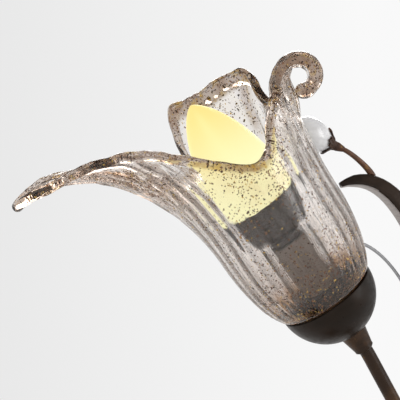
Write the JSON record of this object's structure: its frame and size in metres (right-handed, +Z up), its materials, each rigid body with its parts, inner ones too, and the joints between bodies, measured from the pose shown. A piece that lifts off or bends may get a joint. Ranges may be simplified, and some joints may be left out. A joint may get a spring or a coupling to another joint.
{
  "type": "tulip shade table lamp",
  "caption": "Table lamp with a ribbed blown-glass tulip shade on a leaning bronze tube, a glass bud on an arching leaf and a wire tendril over a round turned foot.",
  "frame": {"origin": "centre of the foot's underside, where the felt meets the table", "axes": "+Z up; the tube and the shade lean towards -X; the leaf and the bud stand behind the tube on +Y"},
  "size_m": [0.2638, 0.136, 0.4159],
  "materials": {
    "felt": "matt felt",
    "iron": "rough cast",
    "foot_bronze": "satin dark bronze",
    "brass_raw": "turned",
    "zinc": "zinc plated",
    "bush_rubber": "matt",
    "block_plastic": "moulded",
    "collar_bronze": "antique bronze",
    "column_bronze": "antique bronze",
    "band_bronze": "rubbed antique bronze",
    "hub_bronze": "satin dark bronze",
    "finial_bronze": "rubbed antique bronze",
    "tube_bronze": "antique bronze with gold highlights",
    "ferrule_bronze": "antique bronze",
    "cup_bronze": "satin very dark brown",
    "holder_black": "moulded",
    "amber_glass": "blown and ribbed, amber and brown specks",
    "gasket_rubber": "matt",
    "ring_black": "moulded",
    "cap_metal": "rolled thread",
    "insulator_black": "glossy",
    "solder": "soldered",
    "bowl_grey": "satin",
    "board_white": "satin",
    "frosted_glow": "frosted, lit",
    "leaf_bronze": "satin dark brown",
    "stem_bronze": "antique bronze",
    "calyx_gold": "rusty gold",
    "opal_glass": "opal white, fire polished",
    "tendril_steel": "drawn wire",
    "lead_brown": "pvc",
    "lead_blue": "pvc"
  },
  "bodies": {
    "lamp": {"felt_pad": "felt", "base_weight": "iron", "base_cover": "foot_bronze", "base_nipple": "brass_raw", "base_nut": "brass_raw", "base_washer": "zinc", "cable_bush": "bush_rubber", "terminal_block": "block_plastic", "column_collar": "collar_bronze", "column": "column_bronze", "column_band": "band_bronze", "hub": "hub_bronze", "hub_finial": "finial_bronze", "grub_screw": "zinc", "arm_tube": "tube_bronze", "ferrule": "ferrule_bronze", "cup": "cup_bronze", "cup_stud": "brass_raw", "cup_lock_nut": "zinc", "lampholder": "holder_black", "centre_contact": "brass_raw", "side_contact": "brass_raw", "leaf_scroll": "leaf_bronze", "bud_stem": "stem_bronze", "bud_calyx": "calyx_gold", "bud_pin": "brass_raw", "bud_glass": "opal_glass", "tendril": "tendril_steel", "lead_live": "lead_brown", "lead_neutral": "lead_blue"},
    "shade": {"glass_shade": "amber_glass", "shade_gasket": "gasket_rubber"},
    "shade_ring": {"shade_ring": "ring_black"},
    "bulb_foot": {"bulb_insulator": "insulator_black", "bulb_contact": "solder"},
    "bulb": {"bulb_cap": "cap_metal", "bulb_bowl": "bowl_grey", "led_board": "board_white", "bulb_globe": "frosted_glow"}
  },
  "joints": [
    {"name": "shade_turn", "type": "hinge", "parent": "lamp", "child": "shade", "pos_m": [-0.05472, 0, 0.30995], "axis": [-0.5976, 0, 0.8018], "continuous": true},
    {"name": "ring_turn", "type": "hinge", "parent": "lamp", "child": "shade_ring", "pos_m": [-0.05472, 0, 0.30995], "axis": [-0.5976, 0, 0.8018], "range_deg": [0, 360]},
    {"name": "bulb_lift", "type": "slide", "parent": "lamp", "child": "bulb_foot", "axis": [-0.5976, 0, 0.8018], "range_m": [0, 0.008]},
    {"name": "bulb_turn", "type": "hinge", "parent": "bulb_foot", "child": "bulb", "pos_m": [-0.05472, 0, 0.30995], "axis": [-0.5976, 0, 0.8018], "range_deg": [0, 1021]}
  ],
  "couplings": [
    {"joint": "bulb_turn", "follows": "bulb_lift", "rad_per_m": 2226.5}
  ]
}
